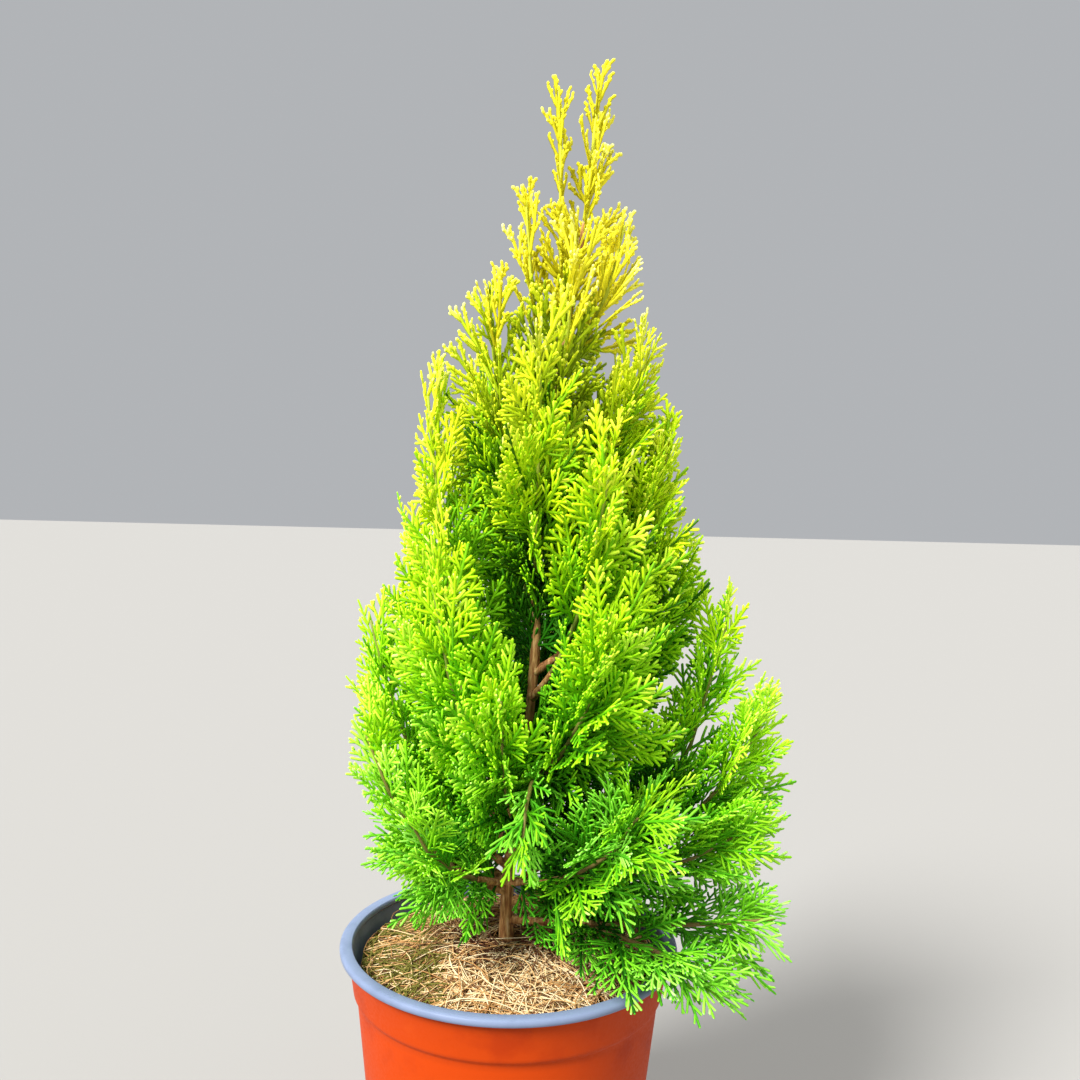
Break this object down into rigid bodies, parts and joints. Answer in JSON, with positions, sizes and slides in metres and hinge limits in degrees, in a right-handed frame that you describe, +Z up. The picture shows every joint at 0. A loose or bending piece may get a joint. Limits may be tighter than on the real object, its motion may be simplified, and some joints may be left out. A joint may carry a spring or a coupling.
{
  "type": "potted thuja",
  "caption": "Young golden thuja with a leaning trunk and upright flat sprays, in a tapered nursery pot with a rolled rim and a coir cover over its compost.",
  "frame": {"origin": "centre of the pot's flat underside", "axes": "+Z up along the pot's axis, -Y towards the plant's front, +X to the right as seen from the front"},
  "size_m": [0.1736, 0.1444, 0.4519],
  "materials": {
    "pot_plastic": "satin moulded polypropylene, orange red",
    "rim_plastic": "satin moulded polypropylene, blue grey",
    "compost": "moist peat-like compost",
    "coir": "loose dry coir fibre",
    "bark": "thin stringy bark",
    "foliage": "waxy scale leaves in flat sprays"
  },
  "bodies": {
    "root": {"pot": "pot_plastic", "pot_rim": "rim_plastic", "compost": "compost", "coir_cover": "coir", "trunk": "bark", "bough_left_shoulder": "bark", "bough_left_outer": "bark", "bough_left_low": "bark", "bough_left_front": "bark", "bough_left_front_low": "bark", "bough_front_low": "bark", "bough_centre_fan": "bark", "bough_right_front": "bark", "bough_right_front_low": "bark", "bough_right_shoulder": "bark", "bough_right_mid": "bark", "bough_lobe_outer": "bark", "bough_rim_spray": "bark", "bough_back_left": "bark", "bough_back": "bark", "bough_back_right": "bark", "bough_back_low_left": "bark", "bough_back_low": "bark", "bough_back_low_right": "bark", "foliage_leader": "foliage", "foliage_leader_side": "foliage", "foliage_top_left": "foliage", "foliage_top_right": "foliage", "foliage_top_front": "foliage", "foliage_top_back": "foliage", "foliage_upper_left": "foliage", "foliage_upper_front": "foliage", "foliage_upper_right": "foliage", "foliage_upper_back_left": "foliage", "foliage_upper_back_right": "foliage", "foliage_left_shoulder": "foliage", "foliage_left_mid": "foliage", "foliage_left_outer": "foliage", "foliage_left_low": "foliage", "foliage_left_foot": "foliage", "foliage_left_front": "foliage", "foliage_left_front_low": "foliage", "foliage_front_low": "foliage", "foliage_front_drooping": "foliage", "foliage_centre_fan": "foliage", "foliage_right_front": "foliage", "foliage_right_front_low": "foliage", "foliage_right_shoulder": "foliage", "foliage_right_mid": "foliage", "foliage_lobe_outer": "foliage", "foliage_lobe_top": "foliage", "foliage_lobe_low": "foliage", "foliage_rim_spray": "foliage", "foliage_rim_hanging": "foliage", "foliage_back_left": "foliage", "foliage_back": "foliage", "foliage_back_right": "foliage", "foliage_back_low_left": "foliage", "foliage_back_low": "foliage", "foliage_back_low_right": "foliage"}
  },
  "joints": []
}
